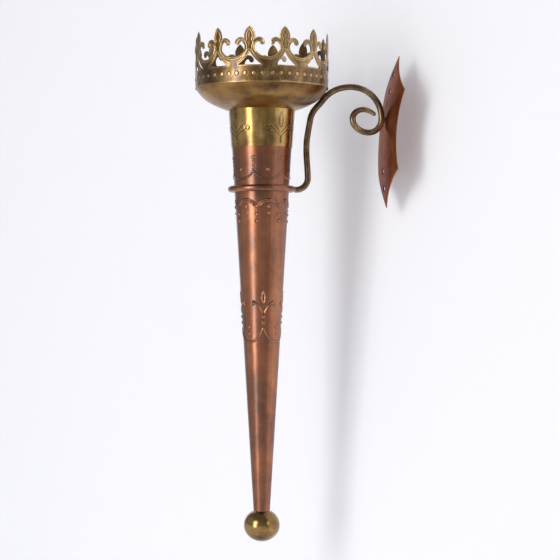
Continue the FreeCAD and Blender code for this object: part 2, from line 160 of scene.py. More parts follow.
def makeStudio():
    # the wall stands close behind the plate's far corner and is seen from the room side only
    finish = paleFinish("paleBackdrop", studio["wallColour"], studio["wallGlow"])
    normal = towards(studio["wallTurn"], 0)
    along = Vector((-normal.y, normal.x, 0))
    axis = Vector((0, -torchStance["reach"] * mm, 0))
    middle = axis - normal * studio["wallBehind"]
    low, high, wide = studio["floorDrop"], studio["wallTop"], studio["wallHalfWidth"]
    corners = [middle + along * x + Vector((0, 0, z)) for x, z in
               ((-wide, low), (wide, low), (wide, high), (-wide, high))]
    wallMesh = bpy.data.meshes.new("backdrop")
    wallMesh.from_pydata([tuple(c) for c in corners], [], [(0, 1, 2, 3)])
    if wallMesh.polygons[0].normal.dot(normal) < 0:
        wallMesh.flip_normals()
    floorMesh = bpy.data.meshes.new("floor")
    size, sides = studio["floorRadius"], studio["floorSides"]
    turns = [i * math.tau / sides for i in range(sides)]
    floorMesh.from_pydata([(size * math.cos(t), size * math.sin(t), low) for t in turns], [],
                          [tuple(range(sides))])
    for mesh in (wallMesh, floorMesh):
        mesh.materials.append(finish)
        linkPiece(mesh.name, mesh)
    for name in ("key", "fill"):
        lamp = bpy.data.lights.new(name + "Lamp", "SUN")
        lamp.energy = studio[name + "Strength"]
        lamp.angle = math.radians(studio[name + "Angle"])
        placeLamp(name + "Lamp", lamp, towards(studio[name + "Azimuth"], studio[name + "Rise"]))
    # a tall soft box gives the pale upright streak on the round sheet metal
    lamp = bpy.data.lights.new("stripLamp", "AREA")
    lamp.shape = "RECTANGLE"
    lamp.size, lamp.size_y = studio["stripWide"], studio["stripTall"]
    lamp.energy = studio["stripPower"]
    away = towards(studio["stripAzimuth"], 0)
    softBox = placeLamp("stripLamp", lamp, away)
    softBox.location = axis + away * studio["stripAway"] + Vector((0, 0, studio["stripHeight"]))
    world = bpy.data.worlds.new("room")
    bpy.context.scene.world = world
    world.use_nodes = True
    sky = world.node_tree.nodes["Background"].inputs
    sky["Color"].default_value = studio["roomColour"]
    sky["Strength"].default_value = studio["roomLight"]


makeStudio()
print("studio set")

# metal finishes: from deep tarnish over the main colour to the pale worn places
# ridges take the pale colour, as rubbed wear and painted highlight; grooves take a darker deep colour, as tarnish
# and painted shade
metalDetail = {"dentSize": 60.0, "dentDepth": 0.0012, "grainSize": 900.0, "grainDepth": 0.00012,
               "deepStop": 0.36, "mainStop": 0.50, "paleStop": 0.66, "roughStop": 0.35, "smoothStop": 0.65,
               "ridgeWearAndHighlight": 0.75, "grooveDirtAndShade": 0.92, "dirtAndShadeTone": 0.45, "dirtDull": 0.2}
copperLook = {"deep": (0.095, 0.026, 0.005, 1), "main": (0.285, 0.075, 0.010, 1),
              "pale": (0.45, 0.155, 0.042, 1), "edge": (0.52, 0.45, 0.45, 1),
              "blotchSize": 26.0, "streakSize": 75.0, "smooth": 0.24, "rough": 0.40,
              "dents": 0.35, "grain": 0.25, "lacquer": 1.0, "lacquerBlur": 0.25, "lacquerIndex": 1.68}
brassLook = {"deep": (0.060, 0.026, 0.006, 1), "main": (0.265, 0.135, 0.032, 1),
             "pale": (0.64, 0.44, 0.20, 1), "edge": (0.85, 0.80, 0.75, 1),
             "blotchSize": 38.0, "streakSize": 70.0, "smooth": 0.24, "rough": 0.42,
             "dents": 0.30, "grain": 0.30, "lacquer": 0.7, "lacquerBlur": 0.18, "lacquerIndex": 1.6}
collarLook = dict(brassLook, main=(0.37, 0.205, 0.036, 1), pale=(0.66, 0.45, 0.16, 1),
                  smooth=0.15, rough=0.26)
bowlLook = dict(brassLook, main=(0.25, 0.122, 0.025, 1), pale=(0.40, 0.235, 0.07, 1),
                smooth=0.30, rough=0.44, lacquer=0.4)
rodLook = dict(brassLook, main=(0.165, 0.094, 0.036, 1), pale=(0.40, 0.28, 0.14, 1), rough=0.40)
ballLook = dict(brassLook, main=(0.27, 0.14, 0.026, 1), pale=(0.56, 0.38, 0.14, 1),
                smooth=0.16, rough=0.26)
plateLook = dict(copperLook, main=(0.33, 0.085, 0.018, 1), edge=(0.55, 0.35, 0.25, 1), blotchSize=18.0,
                 smooth=0.30, rough=0.46, dents=0.6, lacquer=0.45, lacquerIndex=1.5)
steelLook = {"deep": (0.16, 0.15, 0.14, 1), "main": (0.45, 0.44, 0.42, 1), "pale": (0.62, 0.61, 0.60, 1),
             "edge": (0.9, 0.9, 0.9, 1), "blotchSize": 90.0, "streakSize": 120.0, "smooth": 0.25,
             "rough": 0.4, "dents": 0.1, "grain": 0.2, "lacquer": 0.0, "lacquerBlur": 0.3,
             "lacquerIndex": 1.5}


def agedMetal(name, look, run=(1.0, 1.0, 0.045)):
    # run squeezes the streaks along the way the metal was drawn; ridges are paler, as rubbed wear and painted
    # highlight, and grooves darker, as tarnish and painted shade
    material, sheet = newShader(name)
    detail = metalDetail
    spot = sheet.add("ShaderNodeTexCoord", out="Object")
    upright = sheet.add("ShaderNodeMapping", {"Vector": spot, "Rotation": (
        -math.radians(torchStance["lean"]), 0, 0)})
    drawn = sheet.add("ShaderNodeMapping", {"Vector": upright, "Scale": run})
    blotch = sheet.add("ShaderNodeTexNoise", {"Vector": upright, "Scale": look["blotchSize"],
                                              "Detail": 6.0, "Roughness": 0.62})
    streak = sheet.add("ShaderNodeTexNoise", {"Vector": drawn, "Scale": look["streakSize"],
                                              "Detail": 5.0, "Roughness": 0.6})
    grain = sheet.add("ShaderNodeTexNoise", {"Vector": upright, "Scale": detail["grainSize"], "Detail": 3.0})
    dents = sheet.add("ShaderNodeTexNoise", {"Vector": upright, "Scale": detail["dentSize"], "Detail": 1.0})
    mixed = sheet.math("MULTIPLY_ADD", blotch, 0.5)
    sheet.tree.links.new(sheet.math("MULTIPLY", streak, 0.5), mixed.node.inputs[2])
    tone = sheet.add("ShaderNodeValToRGB", {"Fac": mixed})
    stops = sheet.node.color_ramp.elements
    stops[0].position, stops[0].color = detail["deepStop"], look["deep"]
    stops[1].position, stops[1].color = detail["paleStop"], look["pale"]
    stops.new(detail["mainStop"]).color = look["main"]
    wear = sheet.add("ShaderNodeAttribute", out="Fac", attribute_name="wear")
    # painted highlight and wear on ridges, painted shade and tarnish in grooves
    ridge = sheet.ranged(wear, 0.0, 1.0, 0.0, detail["ridgeWearAndHighlight"])
    groove = sheet.ranged(wear, 0.0, -1.0, 0.0, detail["grooveDirtAndShade"])
    bright = sheet.add("ShaderNodeMixRGB", {"Fac": ridge, "Color1": tone, "Color2": look["pale"]})
    dirtAndShade = tuple(c * detail["dirtAndShadeTone"] for c in look["deep"][:3]) + (1,)
    dark = sheet.add("ShaderNodeMixRGB", {"Fac": groove, "Color1": bright, "Color2": dirtAndShade})
    dull = sheet.ranged(mixed, detail["roughStop"], detail["smoothStop"], look["rough"], look["smooth"])
    duller = sheet.math("ADD", dull, sheet.math("MULTIPLY", groove, detail["dirtDull"]))
    low = sheet.add("ShaderNodeBump", {"Height": dents, "Strength": look["dents"],
                                       "Distance": detail["dentDepth"]})
    fine = sheet.add("ShaderNodeBump", {"Height": grain, "Strength": look["grain"],
                                        "Distance": detail["grainDepth"], "Normal": low})
    metal = sheet.add("ShaderNodeBsdfPrincipled", {
        "Base Color": dark, "Metallic": 1.0, "Roughness": duller, "Normal": fine,
        "Specular Tint": look["edge"], "Coat Weight": look["lacquer"],
        "Coat Roughness": look["lacquerBlur"], "Coat IOR": look["lacquerIndex"]})
    sheet.add("ShaderNodeOutputMaterial", {"Surface": metal})
    return material


evenRun = (1.0, 1.0, 1.0)
finishes = {
    "copper_sheet": agedMetal("copperSheet", copperLook),
    "copper_plate": agedMetal("copperPlate", plateLook, (1.0, 1.0, 0.5)),
    "copper_rod": agedMetal("copperRod", dict(copperLook, streakSize=40.0), evenRun),
    "brass_collar": agedMetal("brassCollar", collarLook),
    "brass_crown": agedMetal("brassCrown", brassLook, (1.0, 1.0, 0.6)),
    "brass_bowl": agedMetal("brassBowl", bowlLook, (0.2, 0.2, 1.0)),
    "brass_rod": agedMetal("brassRod", rodLook, evenRun),
    "brass_ball": agedMetal("brassBall", ballLook, (0.4, 0.4, 1.0)),
    "brass_pan": agedMetal("brassPan", bowlLook, evenRun),
    "brass_inner": agedMetal("brassInner", brassLook, evenRun),
    "steel_hardware": agedMetal("steelHardware", steelLook, evenRun)}
slotOf = {s["node"]: s["material_slot"] for s in frame["record"]["subparts"]}
for name, piece in frame["nodes"].items():
    piece.data.materials.clear()
    piece.data.materials.append(finishes[slotOf[name]])
print("finishes made:", len(finishes))


# geometry trees, in millimetres
sharpAngle = math.radians(38)
weldGap = 0.0005
# how far the dip beside a line or bead reaches, in its own half width, how deep it is, and how dark it is painted,
# as tarnish and painted shade
moatShape = {"lineFrom": 0.6, "lineTo": 2.4, "beadFrom": 0.85, "beadTo": 1.5, "depth": 0.12, "shade": 0.95}


def newTree(name, inputs):
    tree = bpy.data.node_groups.new(name, "GeometryNodeTree")
    tree.interface.new_socket("Geometry", in_out="INPUT", socket_type="NodeSocketGeometry")
    for label, kind in inputs.items():
        tree.interface.new_socket(label, in_out="INPUT", socket_type="NodeSocket" + kind)
    tree.interface.new_socket("Geometry", in_out="OUTPUT", socket_type="NodeSocketGeometry")
    sheet = NodeSheet(tree)
    return sheet, tree.nodes.new("NodeGroupInput").outputs


def endTree(sheet, shape, material=None):
    done = sheet.add("GeometryNodeRealizeInstances", {"Geometry": shape})
    done = sheet.add("GeometryNodeSetShadeSmooth", {"Geometry": done})
    if material is not None:
        done = sheet.add("GeometryNodeSetMaterial", {"Geometry": done, "Material": material})
    sheet.add("NodeGroupOutput", {"Geometry": done})
    return sheet.tree


def sampled(sheet, source, value, index, kind="FLOAT"):
    return sheet.add("GeometryNodeSampleIndex", {"Geometry": source, "Value": value, "Index": index},
                     data_type=kind)


def named(sheet, name):
    return sheet.add("GeometryNodeInputNamedAttribute", {"Name": name}, data_type="FLOAT")


def turnedCopies(sheet, given, piece):
    # sets copies of the piece round the axis, from the first angle on
    stand = sheet.add("GeometryNodeMeshLine", {"Count": given["Copies"], "Offset": (0, 0, 0)})
    step = sheet.math("DIVIDE", math.tau, given["Copies"])
    turn = sheet.math("ADD", sheet.math("MULTIPLY", sheet.add("GeometryNodeInputIndex"), step),
                      given["First Angle"])
    copies = sheet.add("GeometryNodeInstanceOnPoints", {
        "Points": stand, "Instance": piece, "Rotation": sheet.add("ShaderNodeCombineXYZ", {"Z": turn})})
    return sheet.add("GeometryNodeRealizeInstances", {"Geometry": copies})


def turnedTree():
    # turns a closed section, given as points with x for the radius and z for the height, about the axis
    sheet, given = newTree("turnedSheet", {"Columns": "Int", "Material": "Material"})
    section = given["Geometry"]
    count = sheet.add("GeometryNodeAttributeDomainSize", {"Geometry": section}, component="MESH")
    rows = sheet.math("ADD", count, 1.0)
    grid = sheet.add("GeometryNodeMeshGrid", {"Vertices X": sheet.math("ADD", given["Columns"], 1.0),
                                              "Vertices Y": rows})
    index = sheet.add("GeometryNodeInputIndex")
    row = sheet.math("MODULO", sheet.math("MODULO", index, rows), count)
    column = sheet.math("FLOOR", sheet.math("DIVIDE", sheet.math("ADD", index, 0.5), rows))
    angle = sheet.math("DIVIDE", sheet.math("MULTIPLY", column, math.tau), given["Columns"])
    place = sheet.add("GeometryNodeInputPosition")
    spot = sampled(sheet, section, place, row, "FLOAT_VECTOR")
    radius = sheet.add("ShaderNodeSeparateXYZ", {0: spot})
    height = sheet.node.outputs["Z"]
    target = sheet.add("ShaderNodeCombineXYZ", {
        "X": sheet.math("MULTIPLY", radius, sheet.math("COSINE", angle)),
        "Y": sheet.math("MULTIPLY", radius, sheet.math("SINE", angle)), "Z": height})
    shape = sheet.add("GeometryNodeSetPosition", {"Geometry": grid, "Position": target})
    shape = sheet.add("GeometryNodeMergeByDistance", {"Geometry": shape, "Distance": weldGap})
    return endTree(sheet, shape, given["Material"])


def embossTree():
    # presses a motif of lines and beads, repeated about the axis, outward into the sheet
    sheet, given = newTree("embossedMotif", {
        "Motif": "Object", "Copies": "Int", "First Angle": "Float", "Line Width": "Float",
        "Line Rise": "Float", "Bead Rise": "Float"})
    motif = sheet.add("GeometryNodeObjectInfo", {"Object": given["Motif"]}, out="Geometry")
    copies = turnedCopies(sheet, given, motif)
    isBead = sheet.math("GREATER_THAN", named(sheet, "size"), 0.0)
    beads = sheet.add("GeometryNodeSeparateGeometry", {"Geometry": copies, "Selection": isBead})
    lines = sheet.node.outputs["Inverted"]
    here = sheet.add("GeometryNodeInputPosition")
    reach = sheet.add("GeometryNodeProximity", {"Target": lines, "Source Position": here}, out="Distance",
                      target_element="EDGES")
    reach = sheet.math("DIVIDE", reach, sheet.math("MULTIPLY", given["Line Width"], 0.5))
    nearest = sheet.add("GeometryNodeSampleNearest", {"Geometry": beads, "Sample Position": here})
    beadSpot = sampled(sheet, beads, here, nearest, "FLOAT_VECTOR")
    beadSize = sampled(sheet, beads, named(sheet, "size"), nearest)
    away = sheet.add("ShaderNodeVectorMath", {0: here, 1: beadSpot}, out="Value", operation="DISTANCE")
    share = sheet.math("DIVIDE", away, beadSize)
    line = sheet.ranged(reach, 0.0, 1.0, 1.0, 0.0, "SMOOTHSTEP")
    domed = sheet.math("SQRT", sheet.math("MAXIMUM", sheet.math(
        "SUBTRACT", 1.0, sheet.math("MULTIPLY", share, share)), 0.0))
    lineMoat, beadMoat = (sheet.math(
        "MULTIPLY", sheet.ranged(near, 1.0, moatShape[kind + "To"], 1.0, 0.0, "SMOOTHSTEP"),
        sheet.ranged(near, moatShape[kind + "From"], 1.0, 0.0, 1.0))
        for kind, near in (("line", reach), ("bead", share)))
    # a line with a negative rise is engraved: dark itself, as tarnish and painted shade in the cut, with no dip
    # beside it
    proud = sheet.math("SIGN", given["Line Rise"])
    lineMoat = sheet.math("MULTIPLY", lineMoat, sheet.math("MAXIMUM", proud, 0.0))
    moat = sheet.math("MAXIMUM", lineMoat, beadMoat)
    rise = sheet.math("ADD", sheet.math("MULTIPLY", line, given["Line Rise"]),
                      sheet.math("MULTIPLY", domed, sheet.math("MULTIPLY", given["Bead Rise"], beadSize)))
    rise = sheet.math("SUBTRACT", rise, sheet.math("MULTIPLY", moat, moatShape["depth"]))
    front = sheet.math("SUBTRACT", 1.0, named(sheet, "behind"))
    rise = sheet.math("MULTIPLY", rise, front)
    line = sheet.math("MULTIPLY", line, proud)
    # raised lines and bead tops turn paler, as rubbed wear and painted highlight; the dips beside them darker, as
    # tarnish and painted shade
    wear = sheet.math("SUBTRACT", sheet.math("ADD", line, domed),
                      sheet.math("MULTIPLY", moat, moatShape["shade"]))
    wear = sheet.math("ADD", sheet.math("MULTIPLY", wear, front), named(sheet, "wear"))
    shape = sheet.add("GeometryNodeStoreNamedAttribute", {
        "Geometry": given["Geometry"], "Name": "wear", "Value": wear}, data_type="FLOAT")
    out = sheet.add("ShaderNodeVectorMath", {0: sheet.add("GeometryNodeInputNormal"), "Scale": rise},
                    operation="SCALE")
    shape = sheet.add("GeometryNodeSetPosition", {"Geometry": shape, "Offset": out})
    return endTree(sheet, shape)


def bake(name, mesh, steps, spot=None):
    # runs the trees on the mesh, one after the other, and keeps the plain mesh that comes out
    piece = linkPiece(name, mesh)
    for tree, values in steps:
        modifier = piece.modifiers.new(tree.name, "NODES")
        modifier.node_group = tree
        for item in tree.interface.items_tree:
            if item.in_out == "INPUT" and item.name in values:
                modifier[item.identifier] = values[item.name]
    graph = bpy.context.evaluated_depsgraph_get()
    baked = bpy.data.meshes.new_from_object(piece.evaluated_get(graph), preserve_all_data_layers=True,
                                            depsgraph=graph)
    piece.modifiers.clear()
    piece.data = baked
    baked.name = name
    if spot is not None:
        baked.transform(spot)
    baked.set_sharp_from_angle(angle=sharpAngle)
    print(name, "baked:", len(baked.vertices), "points")
    return piece


def pointMesh(name, points, edges=(), sizes=None):
    mesh = bpy.data.meshes.new(name)
    mesh.from_pydata([tuple(p) for p in points], list(edges), [])
    layer = mesh.attributes.new("size", "FLOAT", "POINT")
    layer.data.foreach_set("value", sizes if sizes is not None else [0.0] * len(points))
    return mesh


def motifObject(name, lines, beads, wrap):
    # lines are runs of flat points (across, up); beads are (across, up, radius); wrap puts them on the sheet
    points, edges, sizes = [], [], []
    for run in lines:
        start = len(points)
        points += [wrap(x, z) for x, z in run]
        edges += [(start + i, start + i + 1) for i in range(len(run) - 1)]
        sizes += [0.0] * len(run)
    for x, z, size in beads:
        points.append(wrap(x, z))
        sizes.append(size)
    return linkPiece(name, pointMesh(name, points, edges, sizes))


def seatPiece(piece, body, node):
    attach(piece, body)
    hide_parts(node)


turnedSheet = turnedTree()
embossedMotif = embossTree()
print("trees built")


# torch shaft
shaftSizes = {"foot": 0.0, "length": 462.0, "footRadius": 10.3, "headRadius": 37.835, "sheet": 0.8, "columns": 320,
              "fineStep": 0.62, "coarseStep": 7.0, "lineWidth": 2.1, "lineRise": 0.72, "beadRise": 0.52,
              "fineZones": ((206, 276), (357, 391), (410.5, 442))}
# level is where the scallops' width is measured; beads are heights with radii
upperMotif = {"copies": 6, "first": -28.5, "level": 418, "cusp": 422.1, "bottom": 413.2,
              "cuspBeads": ((424.6, 1.5), (429.2, 1.6), (434.1, 1.7), (438.9, 2.2)),
              "scallopBead": (424.3, 2.2)}
lowerMotif = {"copies": 7, "first": -21.9, "level": 383, "cusp": 378.4, "top": 387.6,
              "innerGap": 2.0, "innerShare": 0.86, "innerCut": 3,
              "cuspBeads": ((374.2, 1.5), (369.3, 2.1), (361.0, 2.2)),
              "archBeads": ((378.8, 2.2), (370.6, 1.6))}
middleMotif = {"copies": 4, "first": -7.1, "level": 220, "cusp": 228.4, "bottom": 211.4,
               "stemBeads": ((242.3, 2.2), (234.9, 2.1)), "scallopBeads": ((229.3, 1.8), (221.3, 2.0)),
               "leafBead": (12.6, 260.0, 2.3),
               "petal": ((0, 273.6), (1.5, 270.2), (2.1, 266.5), (1.7, 262.8), (0.7, 259.8)),
               "leaf": ((1.6, 247.8), (3.6, 252.0), (6.6, 256.6), (10.0, 259.8), (13.2, 259.4), (13.8, 257.0))}


def coneRadius(sizes, height):
    share = (height - sizes["foot"]) / sizes["length"]
    return sizes["footRadius"] + (sizes["headRadius"] - sizes["footRadius"]) * share


def coneWrap(sizes):
    def wrap(across, height):
        radius = coneRadius(sizes, height)
        return (radius * math.cos(across / radius), radius * math.sin(across / radius), height)
    return wrap


def coneSection(sizes, heights):
    # up the outside and down the inside; the trees turn it into the sheet
    section = [(coneRadius(sizes, z), 0, z) for z in heights]
    return section + [(coneRadius(sizes, z) - sizes["sheet"], 0, z) for z in (heights[-1], heights[0])]


def rowHeights(low, high, zones, fine, coarse):
    heights, z = [low], low
    while z < high - 0.01:
        step = fine if any(a <= z < b for a, b in zones) else coarse
        ahead = [a for a, b in zones if z < a]
        z = min([z + step, high] + [a for a in ahead if a < z + step])
        heights.append(z)
    return heights


def scallop(half, bottom, cusp, steps=40, power=2.7):
    # from one cusp to the next, shallow in the middle and steep at the ends
    runs = []
    for i in range(steps + 1):
        a = i / steps * 2.0 - 1.0
        runs.append((half + a * half, bottom + (cusp - bottom) * abs(a) ** power))
    return runs


def curl(points, steps=8):
    # a smooth line through a few given points
    spots = [points[0]] + list(points) + [points[-1]]
    run = []
    for a, b, c, d in zip(spots, spots[1:], spots[2:], spots[3:]):
        for i in range(steps):
            t = i / steps
            run.append(tuple(0.5 * (2 * b[k] + (c[k] - a[k]) * t
                                    + (2 * a[k] - 5 * b[k] + 4 * c[k] - d[k]) * t * t
                                    + (3 * b[k] - a[k] - 3 * c[k] + d[k]) * t ** 3) for k in (0, 1)))
    return run + [tuple(points[-1])]


def mirrored(lines):
    return lines + [[(-x, z) for x, z in run] for run in lines]


def halfScallop(motif):
    return math.pi * coneRadius(shaftSizes, motif["level"]) / motif["copies"]


def makeCone(name, size, heights, motifs, node, slotName):
    steps = [(turnedSheet, {"Columns": size["columns"], "Material": finishes[slotName]})]
    for motif, look in motifs:
        steps.append((embossedMotif, {
            "Motif": motif, "Copies": look["copies"], "First Angle": math.radians(look["first"]),
            "Line Width": size["lineWidth"], "Line Rise": size["lineRise"], "Bead Rise": size["beadRise"]}))
    section = pointMesh(name + "Section", coneSection(size, heights))
    cone = bake(name, section, steps, torchMatrix())
    for motif, look in motifs:
        bpy.data.objects.remove(motif)
    seatPiece(cone, "torch", node)


def makeShaft():
    size, onShaft = shaftSizes, coneWrap(shaftSizes)
    outer = rowHeights(size["foot"], size["length"], size["fineZones"], size["fineStep"], size["coarseStep"])
    half = halfScallop(upperMotif)
    upper = motifObject("upperLines", [scallop(half, upperMotif["bottom"], upperMotif["cusp"])],
                        [(0, *bead) for bead in upperMotif["cuspBeads"]]
                        + [(half, *upperMotif["scallopBead"])], onShaft)
    half = halfScallop(lowerMotif)
    arch = scallop(half, lowerMotif["top"], lowerMotif["cusp"])
    cut, share = lowerMotif["innerCut"], lowerMotif["innerShare"]
    inner = [(half + (x - half) * share, z - lowerMotif["innerGap"]) for x, z in arch[cut:-cut]]
    lower = motifObject("lowerLines", [arch, inner], [(0, *bead) for bead in lowerMotif["cuspBeads"]]
                        + [(half, *bead) for bead in lowerMotif["archBeads"]], onShaft)
    half = halfScallop(middleMotif)
    leaves = mirrored([curl(middleMotif["petal"]), curl(middleMotif["leaf"])])
    x, z, r = middleMotif["leafBead"]
    middle = motifObject("middleLines", [scallop(half, middleMotif["bottom"], middleMotif["cusp"])] + leaves,
                         [(0, *bead) for bead in middleMotif["stemBeads"]] + [(x, z, r), (-x, z, r)]
                         + [(half, *bead) for bead in middleMotif["scallopBeads"]], onShaft)
    motifs = ((upper, upperMotif), (lower, lowerMotif), (middle, middleMotif))
    makeCone("embossedShaft", size, outer, motifs, "torch_shaft", "copper_sheet")


makeShaft()

# collar, engraved with lilies; their runs are flat points, across and up
collarSizes = {"foot": 453.0, "length": 46.7, "footRadius": 38.15, "headRadius": 41.5, "sheet": 0.8,
               "columns": 360, "fineStep": 0.6, "edgeStep": 0.8, "plainEdge": 2.5, "lineWidth": 1.7,
               "lineRise": -0.38, "beadRise": 0.3, "copies": 4, "first": 25.0, "bead": (0, 486.0, 1.1)}
lilyRuns = (((0, 495.8), (1.7, 491.6), (2.7, 486.0), (2.1, 480.2), (0.5, 476.2)),
            ((1.2, 470.0), (4.5, 473.4), (8.5, 477.2), (12.0, 479.2), (14.6, 477.8), (14.8, 474.8)),
            ((14.8, 474.8), (17.2, 472.6), (20.4, 473.4), (20.8, 476.8), (18.4, 478.4), (17.0, 476.8)),
            ((1.2, 465.9), (5.0, 469.2), (9.5, 471.8), (14.8, 474.0)),
            ((0.9, 466.0), (1.0, 461.5), (0.4, 456.8)))


def makeCollar():
    size = collarSizes
    foot, top = size["foot"], size["foot"] + size["length"]
    zone = (foot + size["plainEdge"], top - size["plainEdge"])
    outer = rowHeights(foot, top, (zone,), size["fineStep"], size["edgeStep"])
    lines = mirrored([curl(run) for run in lilyRuns])
    motif = motifObject("collarLines", lines, [size["bead"]], coneWrap(size))
    makeCone("embossedCollar", size, outer, ((motif, size),), "brass_collar", "brass_collar")


makeCollar()


# flat sheet work for crown and wall plate; loops are closed runs of flat points
def arcThrough(a, b, c, spacing):
    # points of the arc from a through b to c, without c
    ax, az, bx, bz, cx, cz = *a, *b, *c
    d = 2 * (ax * (bz - cz) + bx * (cz - az) + cx * (az - bz))
    sa, sb, sc = ax * ax + az * az, bx * bx + bz * bz, cx * cx + cz * cz
    ox = (sa * (bz - cz) + sb * (cz - az) + sc * (az - bz)) / d
    oz = (sa * (cx - bx) + sb * (ax - cx) + sc * (bx - ax)) / d
    radius = math.hypot(ax - ox, az - oz)
    angles = [math.atan2(z - oz, x - ox) for x, z in (a, b, c)]
    sweep = (angles[2] - angles[0]) % math.tau
    if (angles[1] - angles[0]) % math.tau > sweep:
        sweep -= math.tau
    count = max(2, round(abs(sweep) * radius / spacing))
    return [(ox + radius * math.cos(angles[0] + sweep * i / count),
             oz + radius * math.sin(angles[0] + sweep * i / count)) for i in range(count)]


def lineTo(a, b, spacing):
    count = max(1, round(math.dist(a, b) / spacing))
    return [(a[0] + (b[0] - a[0]) * i / count, a[1] + (b[1] - a[1]) * i / count) for i in range(count)]


def loopEdges(loops):
    for loop in loops:
        yield from zip(numpy.array(loop), numpy.roll(numpy.array(loop), -1, axis=0))


def insideLoops(loops, spots):
    # a spot is inside when a line to its right crosses the loops an odd number of times
    inside = numpy.zeros(len(spots), bool)
    for (ax, az), (bx, bz) in loopEdges(loops):
        if az != bz:
            inside ^= ((az > spots[:, 1]) != (bz > spots[:, 1])) & (
                spots[:, 0] < (bx - ax) * (spots[:, 1] - az) / (bz - az) + ax)
    return inside


def edgeDistance(loops, spots):
    best = numpy.full(len(spots), 1e9)
    for start, end in loopEdges(loops):
        run = end - start
        share = numpy.clip(((spots - start) @ run) / max(run @ run, 1e-12), 0, 1)
        best = numpy.minimum(best, numpy.linalg.norm(spots - start - share[:, None] * run, axis=1))
    return best


def filledSheet(loops, spacing, rowShare=0.866, clearShare=0.55):
    # flat triangles inside the loops: the loops' own points first, then a regular field of points
    rim = [point for loop in loops for point in loop]
    low, high = numpy.min(rim, axis=0), numpy.max(rim, axis=0)
    rows = numpy.arange(low[1], high[1], spacing * rowShare)
    field = numpy.array([(x + (row % 2) * spacing * 0.5, z) for row, z in enumerate(rows)
                         for x in numpy.arange(low[0], high[0], spacing)])
    field = field[insideLoops(loops, field)]
    field = field[edgeDistance(loops, field) > spacing * clearShare]
    edges, start = [], 0
    for loop in loops:
        edges += [(start + i, start + (i + 1) % len(loop)) for i in range(len(loop))]
        start += len(loop)
    spots = [Vector(p) for p in rim] + [Vector(p) for p in field]
    flat, _, faces, *_ = geometry.delaunay_2d_cdt(spots, edges, [], 0, 1e-6)
    flat = numpy.array([tuple(p) for p in flat])
    middles = numpy.array([flat[list(face)].mean(axis=0) for face in faces])
    keep = insideLoops(loops, middles)
    return flat, [tuple(face) for face, kept in zip(faces, keep) if kept]


def neverOpen(a, b):
    return False


def sheetMesh(name, loops, fine, coarse, thickness, openEdge=neverOpen):
    # fine in front, on y 0, and coarse behind; the walls leave out the edges where neighbours join
    front, frontFaces = filledSheet(loops, fine)
    back, backFaces = filledSheet(loops, coarse)
    points = [(x, 0.0, z) for x, z in front] + [(x, thickness, z) for x, z in back]
    shift, faces = len(front), []
    for flat, found, first, isFront in ((front, frontFaces, 0, True), (back, backFaces, shift, False)):
        for face in found:
            a, b, c = (flat[i] for i in face)
            turned = (b[0] - a[0]) * (c[1] - a[1]) - (b[1] - a[1]) * (c[0] - a[0])
            faces.append(tuple(i + first for i in (face if (turned > 0) == isFront else face[::-1])))
    start = 0
    for loop in loops:
        area = sum(a[0] * b[1] - b[0] * a[1] for a, b in zip(loop, loop[1:] + loop[:1]))
        outward = (area > 0) == (start == 0)
        for i in range(len(loop)):
            a, b = start + i, start + (i + 1) % len(loop)
            if not openEdge(front[a], front[b]):
                wall = (a, a + shift, b + shift, b)
                faces.append(wall if outward else wall[::-1])
        start += len(loop)
    mesh = bpy.data.meshes.new(name)
    mesh.from_pydata(points, [], faces)
    layer = mesh.attributes.new("behind", "FLOAT", "POINT")
    layer.data.foreach_set("value", [0.0] * shift + [1.0] * len(back))
    return mesh


# radius is the front of the plain sheet; the relief fills the room up to cadRadius
crownSizes = {"radius": 82.9, "wall": 0.6, "relief": 0.6, "reliefShare": 0.97, "foot": 526.1, "copies": 12,
              "firstAngle": 8.0, "height": 67.5, "shoulder": 36.8, "windowFoot": 20.8, "windowHalf": 14.7,
              "windowApex": 36.6, "windowHollow": 1.1, "fine": 0.72, "coarse": 5.0, "cadRadius": 83.5,
              "arcStep": 0.75, "edgeStep": 1.2, "windowStep": 1.0, "weldGap": 0.004,
              "beadHeight": 10.9, "beadRadius": 2.6, "beadRise": 0.15, "beadInside": -0.2,
              "plainRidge": ((0, 0.25), (0.8, 0.7), (1.8, 0.32), (8, 0.32)),
              "fleurRidge": ((0, 0.15), (0.85, 1.0), (1.9, 0.1), (2.9, 0.85), (4.3, 0.12), (5.6, 0.3),
                             (8, 0.3)),
              "ridgeBlend": 7.0, "plainLevel": 0.36, "wearAndShadeGain": 2.1, "backShade": 0.55}
# the fleur's right side, across and down from the tip: each arc ends where the next begins
fleurSide = ((0, 0), (5.1, 5.6), (6.9, 12.1), (6.7, 14.1), (5.9, 16.0), (12.6, 13.6), (18.6, 19.6),
             (15.5, 23.0), (12.5, 20.6), (11.1, 19.2), (9.2, 19.7), (6.3, 25.4), (9.6, 32.1), (14.6, 35.6))


def crownLoops():
    # one fleur of the crown, unrolled: x across, z up from the crown's lower edge
    size, tip = crownSizes, crownSizes["height"]
    half = math.pi * size["cadRadius"] / size["copies"]
    spots = [(x, tip - down) for x, down in fleurSide + ((half, size["shoulder"]),)]
    arcs = zip(spots[::2], spots[1::2], spots[2::2])
    right = [point for arc in arcs for point in arcThrough(*arc, size["arcStep"])]
    shoulder = tip - size["shoulder"]
    left = [(-x, z) for x, z in right[1:]][::-1]
    sideRise = lineTo((-half, shoulder), (-half, 0), size["edgeStep"])
    outer = right + [(-x, z) for x, z in sideRise] + lineTo((half, 0), (-half, 0), size["edgeStep"])
    outer += [(-half, 0)] + sideRise[:0:-1] + [(-half, shoulder)] + left
    corner, apex = (size["windowHalf"], size["windowFoot"]), (0, size["windowApex"])
    middle = tuple((corner[k] + apex[k]) * 0.5 - size["windowHollow"] for k in (0, 1))
    edge = arcThrough(apex, middle, corner, size["arcStep"])
    opposite = (-corner[0], corner[1])
    window = edge + lineTo(corner, opposite, size["windowStep"]) + [opposite]
    window += [(-x, z) for x, z in edge[:0:-1]]
    return [outer, window], half


